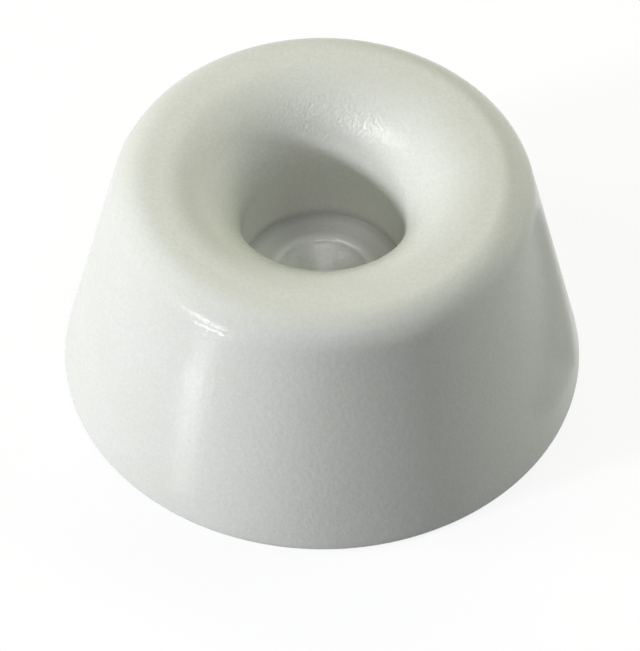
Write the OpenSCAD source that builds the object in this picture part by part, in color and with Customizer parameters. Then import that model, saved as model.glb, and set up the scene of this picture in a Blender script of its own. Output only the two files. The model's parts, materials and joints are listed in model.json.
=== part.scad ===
// Recessed rubber buffer, moulded in one piece. It is a drafted round body with
// a soft crest, a flared recess that buries the screw head, and a conical seat
// round the screw hole. The base stands on Z = 0 and the screw hole runs along
// the Z axis. Everything is turned from one half section, so every bore is a
// true cylinder and every rounded edge a true torus.

/* [Body] */
// Diameter of the base
base_d = 38; // [36:0.5:50]
// Height from the base to the crest
height = 19; // [17:0.5:22]
// Draft of the side wall, in degrees from the vertical
side_draft = 12.8; // [8:0.1:14]
// Radius that rounds the side wall over into the crest
crown_r = 2.7; // [1.5:0.1:3.2]
// Radius of the edge round the foot
foot_r = 0.4; // [0.1:0.1:1.5]

/* [Head recess] */
// Diameter of the straight wall that clears the screw head
recess_d = 11.8; // [9:0.1:12.8]
// Thickness of rubber between the base and the recess floor
floor_z = 8.6; // [5:0.1:12]
// Radius of the flared mouth, which ends at the crest
mouth_r = 5.7; // [2:0.1:6.2]
// Radius in the corner between the recess wall and its floor
corner_r = 0.2; // [0.1:0.05:1]

/* [Screw seat] */
// Diameter of the rim of the conical seat
seat_d = 6.5; // [4:0.1:8]
// Included angle of the conical seat
seat_angle = 118; // [82:1:140]
// Radius of the soft lip that leads from the recess floor down to the rim
lip_r = 0.85; // [0.3:0.05:1.2]
// Steepest slope of the lip, in degrees, reached where it meets the rim
lip_slope = 52; // [50:1:80]
// Diameter of the screw hole through the base
screw_d = 3; // [2:0.1:3.8]

/* [Hidden] */
// Fine enough for a smooth preview; the arcs themselves are true circles
$fn = 180;
// Overcut that keeps two cuts from sharing a face
over = 0.01;
// How far an arc stands proud of true tangency, so that it meets each of its
// two sides at one clean crossing
proud = 0.0005;

base_r = base_d / 2;
recess_r = recess_d / 2;
screw_r = screw_d / 2;
seat_r = seat_d / 2;
// Where the side wall would meet the crest if the edge were left sharp
crest_r = base_r - height * tan(side_draft);
// The lip leaves the recess floor here and has this height at the rim
lip_start_r = seat_r + lip_r * sin(lip_slope);
rim_z = floor_z - lip_r * (1 - cos(lip_slope));
// The conical seat ends here, at the top of the screw hole
seat_foot_z = rim_z - (seat_r - screw_r) / tan(seat_angle / 2);

// Unit vector at an angle in the half section
function along(angle) = [cos(angle), sin(angle)];

// Outline from the axis out to the drafted side wall, with sharp edges
module blank_section() {
    polygon([[0, 0], [base_r, 0], [crest_r, height], [0, height]]);
}

// What an arc of radius r leaves out of the corner at apex, whose two sides
// run off at the angles side_a and side_b, side_b being the larger. It takes
// the point off an outer corner, or fills an inner one.
module corner_waste(apex, side_a, side_b, r) {
    half = (side_b - side_a) / 2;
    middle = (side_a + side_b) / 2;
    reach = r / tan(half);
    centre = apex + r / sin(half) * along(middle);
    difference() {
        polygon([
            apex - over * along(middle),
            apex + reach * along(side_a),
            centre,
            apex + reach * along(side_b)
        ]);
        translate(centre) circle(r + proud);
    }
}

// Straight-walled recess for the screw head, with its flared mouth
module recess_section() {
    difference() {
        translate([0, floor_z]) square([recess_r, height - floor_z + 1]);
        corner_waste([recess_r, floor_z], 90, 180, corner_r);
    }
    corner_waste([recess_r, height], 270, 360, mouth_r);
}

// Soft lip, conical seat and screw hole below the recess floor
module seat_section() {
    difference() {
        polygon([
            [0, floor_z + over],
            [lip_start_r, floor_z + over],
            [lip_start_r, floor_z],
            [seat_r, rim_z],
            [screw_r, seat_foot_z],
            [0, seat_foot_z]
        ]);
        translate([lip_start_r, floor_z - lip_r]) circle(lip_r);
    }
    translate([0, -1]) square([screw_r, seat_foot_z + 1 + over]);
}

// Half section of the buffer, right of the axis
module buffer_section() {
    difference() {
        blank_section();
        corner_waste([base_r, 0], 90 + side_draft, 180, foot_r);
        corner_waste([crest_r, height], 180, 270 + side_draft, crown_r);
        recess_section();
        seat_section();
    }
}

module buffer() {
    color([0.86, 0.87, 0.84])
        rotate_extrude() buffer_section();
}

buffer();
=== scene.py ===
"""Dresses a recessed rubber buffer, moulded in one piece, and sets it on a studio floor.

The buffer is turned about +Z from one half section, with its base on Z = 0. All
lengths are in metres and all angles in degrees, unless a name or a docstring says
otherwise.
"""

import json
import logging
import math
from dataclasses import dataclass, field
from enum import Enum
from itertools import pairwise
from typing import Any, Union

import bpy
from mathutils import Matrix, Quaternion, Vector


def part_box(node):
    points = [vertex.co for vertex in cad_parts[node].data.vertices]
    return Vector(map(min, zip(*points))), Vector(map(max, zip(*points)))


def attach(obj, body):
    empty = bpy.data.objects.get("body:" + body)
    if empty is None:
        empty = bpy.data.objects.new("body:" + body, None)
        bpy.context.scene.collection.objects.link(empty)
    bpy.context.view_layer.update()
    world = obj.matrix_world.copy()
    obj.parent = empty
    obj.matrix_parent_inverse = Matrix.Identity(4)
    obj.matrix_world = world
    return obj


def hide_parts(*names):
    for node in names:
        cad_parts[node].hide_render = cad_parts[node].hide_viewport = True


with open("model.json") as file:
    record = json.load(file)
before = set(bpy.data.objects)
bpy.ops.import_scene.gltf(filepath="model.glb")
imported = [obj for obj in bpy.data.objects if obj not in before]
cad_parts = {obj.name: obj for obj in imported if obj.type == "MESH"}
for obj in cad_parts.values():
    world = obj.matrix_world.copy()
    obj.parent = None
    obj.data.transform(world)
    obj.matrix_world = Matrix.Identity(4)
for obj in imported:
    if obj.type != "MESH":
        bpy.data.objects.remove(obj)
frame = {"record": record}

log = logging.getLogger("rubber_buffer")

MM = 0.001
TAU = 2 * math.pi
WHITE = (1.0, 1.0, 1.0)
BACKGROUND_RAYS = ("Camera", "Glossy", "Transmission")
UNSEEN_RAYS = ("camera", "diffuse", "shadow", "transmission", "volume_scatter")


# ---------------------------------------------------------------- shader maths


Value = Union["Wire", float, tuple]
Colour = tuple[float, float, float]


def opaque(colour: Colour) -> tuple[float, float, float, float]:
    """Adds the alpha that a colour socket asks for."""
    return (*colour, 1.0)


@dataclass(frozen=True)
class Noise:
    """Cloudy noise: its largest features, how many finer layers, and how strong they are."""

    feature: float
    detail: float
    roughness: float = 0.5


class Wire:
    """One node output. Arithmetic on it adds Math nodes to its tree."""

    def __init__(self, graph: "Graph", socket: bpy.types.NodeSocket) -> None:
        """Keeps the graph that the socket belongs to, and the socket itself."""
        self.graph = graph
        self.socket = socket

    def _math(self, operation: str, *values: Value) -> "Wire":
        """Adds one Math node and returns its output."""
        inputs = dict(enumerate(values))
        return self.graph.node("ShaderNodeMath", {"operation": operation}, inputs)

    def __add__(self, other: Value) -> "Wire":
        """Sum of two values."""
        return self._math("ADD", self, other)

    def __radd__(self, other: Value) -> "Wire":
        """Sum, with the plain number on the left."""
        return self._math("ADD", other, self)

    def __sub__(self, other: Value) -> "Wire":
        """Difference of two values."""
        return self._math("SUBTRACT", self, other)

    def __rsub__(self, other: Value) -> "Wire":
        """Difference, with the plain number on the left."""
        return self._math("SUBTRACT", other, self)

    def __mul__(self, other: Value) -> "Wire":
        """Product of two values."""
        return self._math("MULTIPLY", self, other)

    def __rmul__(self, other: Value) -> "Wire":
        """Product, with the plain number on the left."""
        return self._math("MULTIPLY", other, self)

    def root(self) -> "Wire":
        """Square root."""
        return self._math("SQRT", self)

    def above(self, low: float, high: float) -> "Wire":
        """Smooth step from 0 at low to 1 at high.

        Args:
            low: Value at and below which the result is 0.
            high: Value at and above which the result is 1.

        Returns:
            The step's output.
        """
        settings = {"interpolation_type": "SMOOTHSTEP"}
        inputs = {"Value": self, "From Min": low, "From Max": high}
        return self.graph.node("ShaderNodeMapRange", settings, inputs)


class Graph:
    """The node tree of one material or world, emptied and built up node by node."""

    def __init__(self, owner: Any) -> None:
        """Turns on the owner's nodes and empties its tree."""
        owner.use_nodes = True
        self.tree = owner.node_tree
        self.tree.nodes.clear()

    def node(
        self,
        kind: str,
        settings: dict[str, Any] | None = None,
        inputs: dict[Any, Value] | None = None,
        output: int | str = 0,
    ) -> Wire | None:
        """Adds a node of any type.

        Args:
            kind: The node's type, such as ShaderNodeMath.
            settings: The node's own properties, which are set first.
            inputs: Values or wires by socket name or place.
            output: The output to return, by name or place.

        Returns:
            The chosen output as a wire, or nothing where the node has no output.
        """
        made = self.tree.nodes.new(kind)
        for name, value in (settings or {}).items():
            setattr(made, name, value)
        for name, value in (inputs or {}).items():
            if isinstance(value, Wire):
                self.tree.links.new(value.socket, made.inputs[name])
            else:
                made.inputs[name].default_value = value
        if not made.outputs:
            return None
        return Wire(self, made.outputs[output])

    def position(self) -> Wire:
        """Object coordinates, in metres."""
        return self.node("ShaderNodeTexCoord", output="Object")

    def part(self, place: Wire, axis: str) -> Wire:
        """One coordinate of a place."""
        return self.node("ShaderNodeSeparateXYZ", {}, {0: place}, axis)

    def reach(self, place: Wire) -> Wire:
        """Distance from the Z axis."""
        across, along = self.part(place, "X"), self.part(place, "Y")
        return (across * across + along * along).root()

    def near_ring(self, place: Wire, radius: float, height: float, spread: float) -> Wire:
        """1 on a circle round the Z axis, falling off to 0 beside it.

        Args:
            place: Object coordinates.
            radius: The circle's radius.
            height: The circle's height.
            spread: How far the fall reaches.

        Returns:
            The share.
        """
        out = self.reach(place) - radius
        up = self.part(place, "Z") - height
        return 1 - (out * out + up * up).root().above(0.0, spread)

    def noise(self, place: Wire, kind: Noise) -> Wire:
        """Cloudy noise from 0 to 1.

        Args:
            place: Coordinates that it is read at.
            kind: Its size and layers.

        Returns:
            The noise's value.
        """
        inputs = {
            "Vector": place,
            "Scale": 1 / kind.feature,
            "Detail": kind.detail,
            "Roughness": kind.roughness,
        }
        return self.node("ShaderNodeTexNoise", {}, inputs, "Fac")

    def tint(self, share: Value, under: Value, over: Value) -> Wire:
        """Lays one colour over another.

        Args:
            share: How much of the upper colour shows.
            under: The lower colour.
            over: The upper colour.

        Returns:
            The mixed colour.
        """
        # A Mix node's sockets for colours are its 7th and 8th
        return self.node(
            "ShaderNodeMix", {"data_type": "RGBA"}, {0: share, 6: under, 7: over}, 2
        )

    def outside_light(self) -> Wire:
        """1 for rays that show the background: from the camera, a gloss or a glass."""
        path = self.node("ShaderNodeLightPath").socket.node
        seen = [Wire(self, path.outputs[f"Is {kind} Ray"]) for kind in BACKGROUND_RAYS]
        return (seen[0] + seen[1] + seen[2]).above(0.0, 1.0)

    def glow(self, colour: Colour, strength: float) -> Wire:
        """Plain emission."""
        inputs = {"Color": opaque(colour), "Strength": strength}
        return self.node("ShaderNodeEmission", {}, inputs)

    def backdrop(self, strength: float) -> Wire:
        """White light from the world."""
        inputs = {"Color": opaque(WHITE), "Strength": strength}
        return self.node("ShaderNodeBackground", {}, inputs)

    def matt(self, colour: Colour) -> Wire:
        """Plain diffuse surface."""
        return self.node("ShaderNodeBsdfDiffuse", {}, {"Color": opaque(colour)})

    def blend(self, share: Value, under: Wire, over: Wire) -> Wire:
        """Mixes two shaders, with the upper one at full strength where share is 1."""
        return self.node("ShaderNodeMixShader", {}, {0: share, 1: under, 2: over})


# ------------------------------------------------------------------- modelling


def start_from_point(name: str, point: Vector) -> bpy.types.Object:
    """Begins a mesh from one vertex, and stays in edit mode with it selected.

    Args:
        name: Name of the new object.
        point: Where the vertex goes.

    Returns:
        The new object, which sits at the origin.
    """
    bpy.ops.object.select_all(action="DESELECT")
    bpy.ops.mesh.primitive_plane_add(size=MM, location=(0, 0, 0))
    made = bpy.context.object
    made.name = name
    made.data.name = name
    bpy.ops.object.mode_set(mode="EDIT")
    bpy.ops.mesh.select_all(action="SELECT")
    bpy.ops.mesh.merge(type="CENTER")
    bpy.ops.transform.translate(value=point)
    return made


# -------------------------------------------------------------------- finishes


@dataclass(frozen=True)
class RubberFinish:
    """Off-white moulded rubber: satin, a little translucent, with a fine grain."""

    slot: str = "buffer"
    # Pigment, in clouds of two close shades with a fine darker mottle
    colour: Colour = (0.635, 0.650, 0.595)
    shade: Colour = (0.620, 0.632, 0.570)
    cloud: Noise = Noise(5.0 * MM, 3)
    mottle: Noise = Noise(0.22 * MM, 2)
    mottle_share: float = 0.5
    mottle_depth: float = 0.90
    patch_span: tuple[float, float] = (0.3, 0.7)
    # Painted shade in the recess corner and a painted highlight on the lip, as rings of radius,
    # height and spread
    corner_shade: float = 0.22
    corner_shade_colour: Colour = (0.0, 0.0, 0.0)
    corner_shade_ring: tuple[float, float, float] = (5.9 * MM, 8.6 * MM, 0.9 * MM)
    lip_highlight: float = 0.35
    lip_highlight_colour: Colour = (0.80, 0.81, 0.77)
    lip_highlight_ring: tuple[float, float, float] = (3.75 * MM, 8.55 * MM, 0.5 * MM)
    # Dark specks, one to a cell, in the cells whose chance lies above the span
    speck_colour: Colour = (0.16, 0.155, 0.14)
    speck_cell: float = 2.6 * MM
    speck_radius: float = 0.07 * MM
    speck_edge: tuple[float, float] = (0.5, 1.3)
    speck_chance: tuple[float, float] = (0.80, 0.81)
    speck_strength: float = 0.75
    # Gloss, and the light that the rubber lets in
    roughness: float = 0.21
    roughness_spread: float = 0.06
    unevenness: Noise = Noise(1.6 * MM, 4, 0.55)
    gloss_index: float = 1.42
    translucency: float = 0.10
    scatter: float = 1.2 * MM
    blue_share: float = 0.9
    # Relief: fine grain, wider pebbling, and the coarser grain inside the flare
    grain: Noise = Noise(0.24 * MM, 2)
    grain_height: float = 0.013 * MM
    pebble: Noise = Noise(0.50 * MM, 2)
    pebble_height: float = 0.020 * MM
    flare_grain: Noise = Noise(0.23 * MM, 1)
    flare_height: float = 0.052 * MM
    flare_reach: tuple[float, float] = (8.0 * MM, 10.0 * MM)
    flare_foot: tuple[float, float] = (12.0 * MM, 14.5 * MM)

    def build(self) -> bpy.types.Material:
        """Makes the material.

        Returns:
            The finished material.
        """
        material = bpy.data.materials.new("moulded_rubber")
        graph = Graph(material)
        place = graph.position()
        shader = graph.node(
            "ShaderNodeBsdfPrincipled",
            {"subsurface_method": "RANDOM_WALK"},
            {
                "Base Color": self._colour(graph, place),
                "Roughness": self._roughness(graph, place),
                "Normal": self._relief(graph, place),
                "IOR": self.gloss_index,
                "Subsurface Weight": self.translucency,
                "Subsurface Radius": (
                    self.scatter,
                    self.scatter,
                    self.blue_share * self.scatter,
                ),
                "Subsurface Scale": 1.0,
            },
        )
        graph.node("ShaderNodeOutputMaterial", {}, {"Surface": shader})
        return material

    def _colour(self, graph: Graph, place: Wire) -> Wire:
        """Base colour: clouds of pigment, painted shade in the corner, a painted highlight on
        the lip and a few specks.

        Args:
            graph: The material's graph.
            place: Object coordinates.

        Returns:
            The colour.
        """
        clouds = graph.noise(place, self.cloud).above(*self.patch_span)
        body = graph.tint(clouds, opaque(self.colour), opaque(self.shade))
        mottle = graph.noise(place, self.mottle).above(*self.patch_span) * self.mottle_share
        deep = tuple(self.mottle_depth * part for part in self.shade)
        body = graph.tint(mottle, body, opaque(deep))
        # Painted shade: the base colour is darkened towards black round the recess corner,
        # where shade gathers
        corner_shade = graph.near_ring(place, *self.corner_shade_ring) * self.corner_shade
        body = graph.tint(corner_shade, body, opaque(self.corner_shade_colour))
        # Painted highlight: the base colour is lightened in a ring on the seat's lip, where the
        # gloss catches light
        lip_highlight = graph.near_ring(place, *self.lip_highlight_ring) * self.lip_highlight
        body = graph.tint(lip_highlight, body, opaque(self.lip_highlight_colour))
        specks = self._specks(graph, place) * self.speck_strength
        return graph.tint(specks, body, opaque(self.speck_colour))

    def _specks(self, graph: Graph, place: Wire) -> Wire:
        """1 on the dark specks, and 0 off them.

        Args:
            graph: The material's graph.
            place: Object coordinates.

        Returns:
            The share.
        """
        cells = {"Vector": place, "Scale": 1 / self.speck_cell}
        near = graph.node("ShaderNodeTexVoronoi", {}, cells, "Distance")
        pick = graph.node("ShaderNodeTexVoronoi", {}, cells, "Color")
        radius = self.speck_radius / self.speck_cell
        dot = 1 - near.above(*(edge * radius for edge in self.speck_edge))
        chance = graph.node("ShaderNodeSeparateColor", {}, {0: pick}, "Red")
        return dot * chance.above(*self.speck_chance)

    def _roughness(self, graph: Graph, place: Wire) -> Wire:
        """Roughness, a little uneven from place to place.

        Args:
            graph: The material's graph.
            place: Object coordinates.

        Returns:
            The roughness.
        """
        lowest = self.roughness - self.roughness_spread / 2
        return graph.noise(place, self.unevenness) * self.roughness_spread + lowest

    def _relief(self, graph: Graph, place: Wire) -> Wire:
        """Normal of the moulded grain, coarser inside the flare, on wider pebbling.

        Args:
            graph: The material's graph.
            place: Object coordinates.

        Returns:
            The bumped normal.
        """
        grain = graph.noise(place, self.grain) * self.grain_height
        pebble = graph.noise(place, self.pebble) * self.pebble_height
        coarse = graph.noise(place, self.flare_grain) * self.flare_height
        inside = 1 - graph.reach(place).above(*self.flare_reach)
        inside = inside * graph.part(place, "Z").above(*self.flare_foot)
        # The Bump node takes heights in its own distance, here one millimetre
        height = (grain + pebble + coarse * inside) * (1 / MM)
        inputs = {"Strength": 1.0, "Distance": MM, "Height": height}
        return graph.node("ShaderNodeBump", {}, inputs)


@dataclass(frozen=True)
class FloorFinish:
    """Plain pale floor that shows white, with the soft shadow that falls on it."""

    colour: Colour = (0.38, 0.38, 0.37)
    white: float = 0.86

    def build(self) -> bpy.types.Material:
        """Makes the material.

        Returns:
            The finished material.
        """
        material = bpy.data.materials.new("pale_floor")
        graph = Graph(material)
        shown = graph.blend(self.white, graph.matt(WHITE), graph.glow(WHITE, 1.0))
        surface = graph.blend(graph.outside_light(), graph.matt(self.colour), shown)
        graph.node("ShaderNodeOutputMaterial", {}, {"Surface": surface})
        return material


# ---------------------------------------------------------------------- buffer


@dataclass(frozen=True)
class BufferSizes:
    """Sizes of the moulding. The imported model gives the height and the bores."""

    base_radius: float = 19.0 * MM
    height: float = 19.0 * MM
    side_draft: float = 12.8
    crown_radius: float = 2.7 * MM
    foot_radius: float = 0.4 * MM
    recess_radius: float = 5.9 * MM
    floor_height: float = 8.6 * MM
    mouth_radius: float = 5.7 * MM
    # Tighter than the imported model's, so that no light line runs along the corner
    corner_radius: float = 0.02 * MM
    seat_radius: float = 3.25 * MM
    seat_angle: float = 118.0
    lip_radius: float = 0.85 * MM
    lip_slope: float = 52.0
    screw_radius: float = 1.5 * MM

    @classmethod
    def from_frame(cls, node: str) -> "BufferSizes":
        """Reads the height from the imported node, and the bores from its mounts.

        Args:
            node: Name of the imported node.

        Returns:
            The sizes.
        """
        low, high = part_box(node)
        radii = {
            mount["name"]: mount["dims"]["r_mm"] * MM
            for mount in frame["record"]["mounts"]
            if "r_mm" in mount["dims"]
        }
        return cls(
            height=high.z - low.z,
            recess_radius=radii["head_recess"],
            screw_radius=radii["screw_hole"],
        )

    @property
    def crest_radius(self) -> float:
        """Where the side wall would meet the crest if the edge were left sharp."""
        return self.base_radius - self.height * math.tan(math.radians(self.side_draft))


class HalfSection:
    """The moulding's outline in the half plane right of its axis, as (radius, height)."""

    def __init__(self, start: Vector, step: float) -> None:
        """Begins the outline.

        Args:
            start: Its first point.
            step: Longest edge on a straight stretch.
        """
        self.points = [start]
        self.step = step

    @staticmethod
    def along(angle: float) -> Vector:
        """Unit vector at an angle."""
        return Vector((math.cos(math.radians(angle)), math.sin(math.radians(angle))))

    def line_to(self, end: Vector) -> None:
        """Runs straight to a point, in edges of at most one step.

        Args:
            end: Where the stretch ends.
        """
        start = self.points[-1]
        count = max(1, math.ceil((end - start).length / self.step))
        self.points += [start.lerp(end, i / count) for i in range(1, count + 1)]

    def arc(self, centre: Vector, radius: float, start: float, end: float, count: int) -> None:
        """Runs straight to the start of an arc and then round it.

        Args:
            centre: The arc's centre.
            radius: The arc's radius.
            start: Angle where it starts.
            end: Angle where it ends.
            count: Number of edges round it.
        """
        self.line_to(centre + radius * self.along(start))
        for i in range(1, count + 1):
            turned = start + (end - start) * i / count
            self.points.append(centre + radius * self.along(turned))

    def round_corner(
        self, apex: Vector, side_in: float, side_out: float, radius: float, count: int
    ) -> None:
        """Rounds a corner between the side that leads in and the side that leads out.

        Args:
            apex: The sharp corner.
            side_in: Angle at which the side that leads in runs off from the apex.
            side_out: Angle at which the side that leads out runs off.
            radius: Radius of the round.
            count: Number of edges round it.
        """
        opening = abs(side_in - side_out)
        half = math.radians(opening / 2)
        centre = apex + radius / math.sin(half) * self.along((side_in + side_out) / 2)
        turn = 1 if side_in > side_out else -1
        start = side_in + turn * 90
        self.arc(centre, radius, start, start + turn * (180 - opening), count)


@dataclass
class MouldedBuffer:
    """The whole buffer: drafted body, soft crest, flared recess, seat and hole."""

    sizes: BufferSizes
    finish: RubberFinish
    node: str = "buffer"
    name: str = "buffer_body"
    # Edges round the axis and along each arc, and the longest edge on a straight stretch
    spokes: int = 288
    foot_edges: int = 6
    crown_edges: int = 14
    mouth_edges: int = 30
    corner_edges: int = 4
    lip_edges: int = 8
    step: float = 0.42 * MM
    weld: float = 0.001 * MM
    crease: float = 32.0
    piece: bpy.types.Object | None = field(default=None, init=False)

    def half_section(self) -> list[Vector]:
        """Outline from the foot of the screw hole, out along the base and back.

        Returns:
            The points, with the last one where the first one is.
        """
        s = self.sizes
        outline = HalfSection(Vector((s.screw_radius, 0)), self.step)
        foot = Vector((s.base_radius, 0))
        outline.round_corner(foot, 180, 90 + s.side_draft, s.foot_radius, self.foot_edges)
        crown = Vector((s.crest_radius, s.height))
        outline.round_corner(crown, 270 + s.side_draft, 180, s.crown_radius, self.crown_edges)
        mouth = Vector((s.recess_radius, s.height))
        outline.round_corner(mouth, 360, 270, s.mouth_radius, self.mouth_edges)
        corner = Vector((s.recess_radius, s.floor_height))
        outline.round_corner(corner, 90, 180, s.corner_radius, self.corner_edges)
        self._seat(outline)
        outline.line_to(outline.points[0])
        return outline.points

    def _seat(self, outline: HalfSection) -> None:
        """Adds the soft lip, the conical seat and the top of the screw hole.

        Args:
            outline: The outline so far, at the edge of the recess floor.
        """
        s = self.sizes
        slope = math.radians(s.lip_slope)
        lip_start = s.seat_radius + s.lip_radius * math.sin(slope)
        centre = Vector((lip_start, s.floor_height - s.lip_radius))
        outline.arc(centre, s.lip_radius, 90, 90 + s.lip_slope, self.lip_edges)
        drop = (s.seat_radius - s.screw_radius) / math.tan(math.radians(s.seat_angle / 2))
        rim = outline.points[-1]
        outline.line_to(Vector((s.screw_radius, rim.y - drop)))

    def model(self) -> None:
        """Draws the half section with vertex extrusions and spins it round Z."""
        points = [Vector((p.x, 0, p.y)) for p in self.half_section()]
        self.piece = start_from_point(self.name, points[0])
        for here, there in pairwise(points):
            bpy.ops.mesh.extrude_vertices_move(TRANSFORM_OT_translate={"value": there - here})
        bpy.ops.mesh.select_all(action="SELECT")
        bpy.ops.mesh.spin(steps=self.spokes, angle=TAU, center=(0, 0, 0), axis=(0, 0, 1))
        bpy.ops.mesh.select_all(action="SELECT")
        bpy.ops.mesh.remove_doubles(threshold=self.weld)
        bpy.ops.mesh.normals_make_consistent(inside=False)
        bpy.ops.object.mode_set(mode="OBJECT")
        bpy.ops.object.shade_smooth_by_angle(angle=math.radians(self.crease))

    def dress(self) -> None:
        """Gives the piece its finish."""
        self.piece.data.materials.clear()
        self.piece.data.materials.append(self.finish.build())

    def build(self) -> bpy.types.Object:
        """Models and dresses the buffer, and fixes it to the frame.

        Returns:
            The finished piece.
        """
        self.model()
        self.dress()
        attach(self.piece, "root")
        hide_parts(self.node)
        return self.piece


# ---------------------------------------------------------------------- studio


class Sees(Enum):
    """What a lamp is for: lighting the rubber, or the glints on its gloss."""

    BODY = (True, False)
    GLINT = (False, True)


def direction(azimuth: float, elevation: float) -> Vector:
    """Unit vector from the buffer. Azimuth 0 is towards the camera, and + is to the right.

    Args:
        azimuth: Angle round the axis.
        elevation: Angle above the floor.

    Returns:
        The direction.
    """
    turn, rise = math.radians(azimuth), math.radians(elevation)
    return Vector(
        (math.sin(turn) * math.cos(rise), -math.cos(turn) * math.cos(rise), math.sin(rise))
    )


@dataclass(frozen=True)
class SoftLamp:
    """A rectangular soft box that faces the buffer, its width and height as angles."""

    name: str
    azimuth: float
    elevation: float
    width: float
    height: float
    power: float
    colour: Colour = WHITE
    sees: Sees = Sees.BODY
    distance: float = 0.6
    aim: tuple[float, float, float] = (0.0, 0.0, 9.5 * MM)

    def _across(self, angle: float) -> float:
        """Length that fills an angle at the lamp's distance."""
        return 2 * self.distance * math.tan(math.radians(angle / 2))

    def hang(self) -> bpy.types.Object:
        """Makes the lamp and points it.

        Returns:
            The lamp.
        """
        light = bpy.data.lights.new(self.name, "AREA")
        light.shape = "RECTANGLE"
        light.size = self._across(self.width)
        light.size_y = self._across(self.height)
        light.energy = self.power
        light.color = self.colour
        lamp = bpy.data.objects.new(self.name, light)
        bpy.context.scene.collection.objects.link(lamp)
        away = direction(self.azimuth, self.elevation)
        lamp.location = Vector(self.aim) + self.distance * away
        lamp.rotation_mode = "QUATERNION"
        lamp.rotation_quaternion = (-away).to_track_quat("-Z", "Y")
        lamp.visible_camera = False
        lamp.visible_diffuse, lamp.visible_glossy = self.sees.value
        return lamp


@dataclass(frozen=True)
class GlintCard:
    """Card that lies on the floor and shows in the buffer's gloss alone.

    A strength over 1 makes it brighter than the floor around it, and one below 1 darker.
    Its ends are given by their middles and their widths, in millimetres.
    """

    name: str
    near: tuple[float, float]
    far: tuple[float, float]
    widths: tuple[float, float]
    strength: float
    height: float = 0.3

    def lay(self) -> bpy.types.Object:
        """Makes the card: its near end as an edge, drawn out and widened to the far one.

        Returns:
            The card.
        """
        near = Vector((*self.near, self.height)) * MM
        far = Vector((*self.far, self.height)) * MM
        near_width, far_width = self.widths
        across = Vector((near.y - far.y, far.x - near.x, 0)).normalized() * near_width * MM
        card = start_from_point(self.name, near - across / 2)
        bpy.ops.mesh.extrude_vertices_move(TRANSFORM_OT_translate={"value": across})
        bpy.ops.mesh.select_all(action="SELECT")
        bpy.ops.mesh.extrude_region_move(TRANSFORM_OT_translate={"value": far - near})
        growth = far_width / near_width
        bpy.ops.transform.resize(value=(growth, growth, 1), center_override=far)
        bpy.ops.object.mode_set(mode="OBJECT")
        card.data.materials.append(self._finish())
        for kind in UNSEEN_RAYS:
            setattr(card, f"visible_{kind}", False)
        return card

    def _finish(self) -> bpy.types.Material:
        """Plain glow at the card's strength."""
        material = bpy.data.materials.new(self.name)
        graph = Graph(material)
        inputs = {"Surface": graph.glow(WHITE, self.strength)}
        graph.node("ShaderNodeOutputMaterial", {}, inputs)
        return material


@dataclass
class Studio:
    """Floor, world, lamps and camera."""

    floor: FloorFinish
    lamps: list[SoftLamp]
    cards: list[GlintCard]
    fill: float = 0.004
    under_fill: float = 0.35
    horizon: tuple[float, float] = (-0.2, 0.0)
    floor_reach: float = 1.5
    floor_opening: float = 18.4 * MM
    floor_spokes: int = 96

    def lay_floor(self) -> bpy.types.Object:
        """Lays the floor, left open under the buffer so that its base shows from below.

        Returns:
            The floor.
        """
        bpy.ops.object.select_all(action="DESELECT")
        bpy.ops.mesh.primitive_circle_add(vertices=self.floor_spokes, radius=self.floor_opening)
        floor = bpy.context.object
        floor.name = "floor"
        growth = self.floor_reach / self.floor_opening
        bpy.ops.object.mode_set(mode="EDIT")
        bpy.ops.mesh.select_all(action="SELECT")
        bpy.ops.mesh.extrude_region_move()
        bpy.ops.transform.resize(value=(growth, growth, 1))
        bpy.ops.object.mode_set(mode="OBJECT")
        floor.data.materials.append(self.floor.build())
        return floor

    def light_world(self) -> None:
        """Weak fill, stronger from below the floor, with plain white behind the buffer."""
        world = bpy.data.worlds.new("studio")
        bpy.context.scene.world = world
        graph = Graph(world)
        # A world's Generated coordinates are the direction that a ray runs off in
        upward = graph.part(graph.node("ShaderNodeTexCoord", output="Generated"), "Z")
        under, over = graph.backdrop(self.under_fill), graph.backdrop(self.fill)
        fill = graph.blend(upward.above(*self.horizon), under, over)
        surface = graph.blend(graph.outside_light(), fill, graph.backdrop(1.0))
        graph.node("ShaderNodeOutputWorld", {}, {"Surface": surface})

    def hang_lamps(self) -> list[bpy.types.Object]:
        """Hangs every lamp.

        Returns:
            The lamps.
        """
        return [lamp.hang() for lamp in self.lamps]


@dataclass(frozen=True)
class StudioCamera:
    """Long lens looking down on the buffer from the front."""

    elevation: float = 48.68
    distance: float = 0.38
    lens_mm: float = 287.03
    sensor_mm: float = 36.0
    roll: float = 0.4224
    aim: tuple[float, float, float] = (-0.1775 * MM, 0.0, 2.895 * MM)
    clip: tuple[float, float] = (0.01, 10.0)

    def place(self) -> bpy.types.Object:
        """Makes the camera, and makes it the scene's.

        Returns:
            The camera.
        """
        data = bpy.data.cameras.new("studio_camera")
        data.lens = self.lens_mm
        data.sensor_width = self.sensor_mm
        data.clip_start, data.clip_end = self.clip
        camera = bpy.data.objects.new("studio_camera", data)
        bpy.context.scene.collection.objects.link(camera)
        rise = math.radians(self.elevation)
        forward = Vector((0, math.cos(rise), -math.sin(rise)))
        camera.location = Vector(self.aim) - forward * self.distance
        camera.rotation_mode = "QUATERNION"
        level = forward.to_track_quat("-Z", "Y")
        camera.rotation_quaternion = Quaternion(forward, math.radians(-self.roll)) @ level
        bpy.context.scene.camera = camera
        return camera


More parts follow.
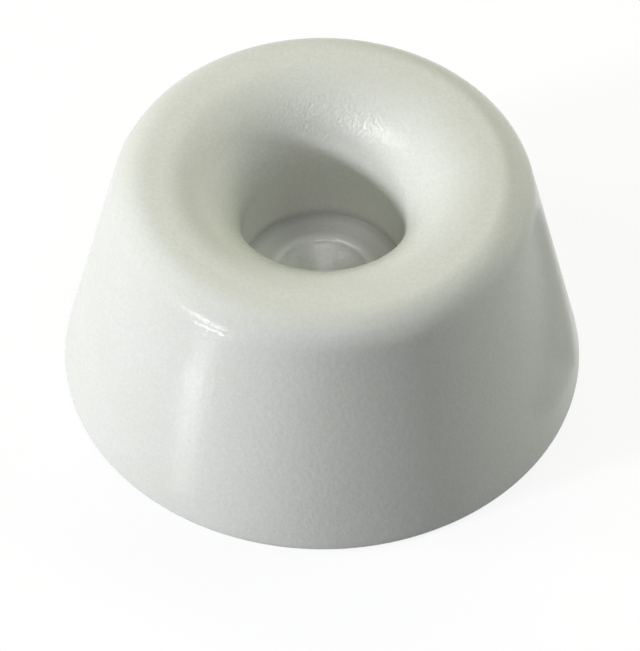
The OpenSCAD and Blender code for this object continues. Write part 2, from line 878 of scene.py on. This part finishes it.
# Lamps that light the rubber, as azimuth, elevation, width, height and power
BODY_LAMPS = [
    SoftLamp("key_left", -66, 19.5, 8, 5, 2.45, (0.98, 1.0, 1.085)),
    SoftLamp("key_side", -90, 15, 8, 5, 1.23, (1.0, 0.99, 1.03)),
    SoftLamp("upper_left", -80, 53, 26, 16, 0.69),
    SoftLamp("upper_front", 20, 50, 26, 16, 0.62, (1.0, 0.985, 1.135)),
    SoftLamp("upper_right", 120, 50, 26, 16, 0.74, (1.0, 1.07, 0.92)),
    SoftLamp("upper_back", 180, 50, 30, 16, 0.92, (1.02, 0.975, 0.66)),
    SoftLamp("low_right", 110, 12, 24, 14, 0.74, (0.98, 1.03, 1.0)),
]
# Lamps that show in the gloss alone. Two of them hang close over the recess and face
# into it, so that no other part of the buffer shows them
GLINT_LAMPS = [
    SoftLamp(
        "glint_flare",
        -57,
        28,
        10,
        23,
        3.8e-4,
        sees=Sees.GLINT,
        distance=10 * MM,
        aim=(3.35 * MM, 6.38 * MM, 16.94 * MM),
    ),
    SoftLamp("glint_crown", -54, 1.6, 18, 3.2, 0.68, sees=Sees.GLINT),
    SoftLamp(
        "glint_seat",
        0,
        67,
        25,
        16,
        9.5e-5,
        sees=Sees.GLINT,
        distance=7.6 * MM,
        aim=(-0.2 * MM, 2.5 * MM, 7.9 * MM),
    ),
]
CARDS = [
    GlintCard("card_side_low", (-13.2, -17.8), (-19.5, -20.8), (2.4, 4.0), 2.6),
    GlintCard("card_side_mid", (-19.5, -20.8), (-27.3, -24.8), (4.0, 5.6), 3.7),
    GlintCard("card_side_high", (-27.3, -24.8), (-29.6, -26.1), (5.6, 6.0), 6.0),
    GlintCard("card_side_end", (-29.6, -26.1), (-31.3, -26.9), (5.0, 5.6), 13.0),
    GlintCard("card_crown", (-48.9, -44.3), (-56.2, -51.0), (13.0, 16.0), 38.0),
    GlintCard("flag_right", (22.6, -2.0), (25.4, 15.0), (6.5, 9.0), 0.36),
    GlintCard("flag_right_end", (21.0, -8.5), (22.6, -2.0), (2.0, 6.5), 0.52),
]


def main() -> None:
    """Builds the buffer, then the studio round it."""
    logging.basicConfig(level=logging.INFO, format="%(message)s")
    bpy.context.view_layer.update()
    scene = bpy.context.scene
    scene.view_settings.view_transform = "Standard"
    buffer = MouldedBuffer(BufferSizes.from_frame("buffer"), RubberFinish())
    piece = buffer.build()
    log.info("%s: %d faces", piece.name, len(piece.data.polygons))
    studio = Studio(FloorFinish(), BODY_LAMPS + GLINT_LAMPS, CARDS)
    studio.lay_floor()
    studio.light_world()
    for lamp in studio.hang_lamps():
        log.info("%s: %.3g W", lamp.name, lamp.data.energy)
    for card in studio.cards:
        log.info("%s: laid", card.lay().name)
    StudioCamera().place()


if __name__ == "__main__":
    main()
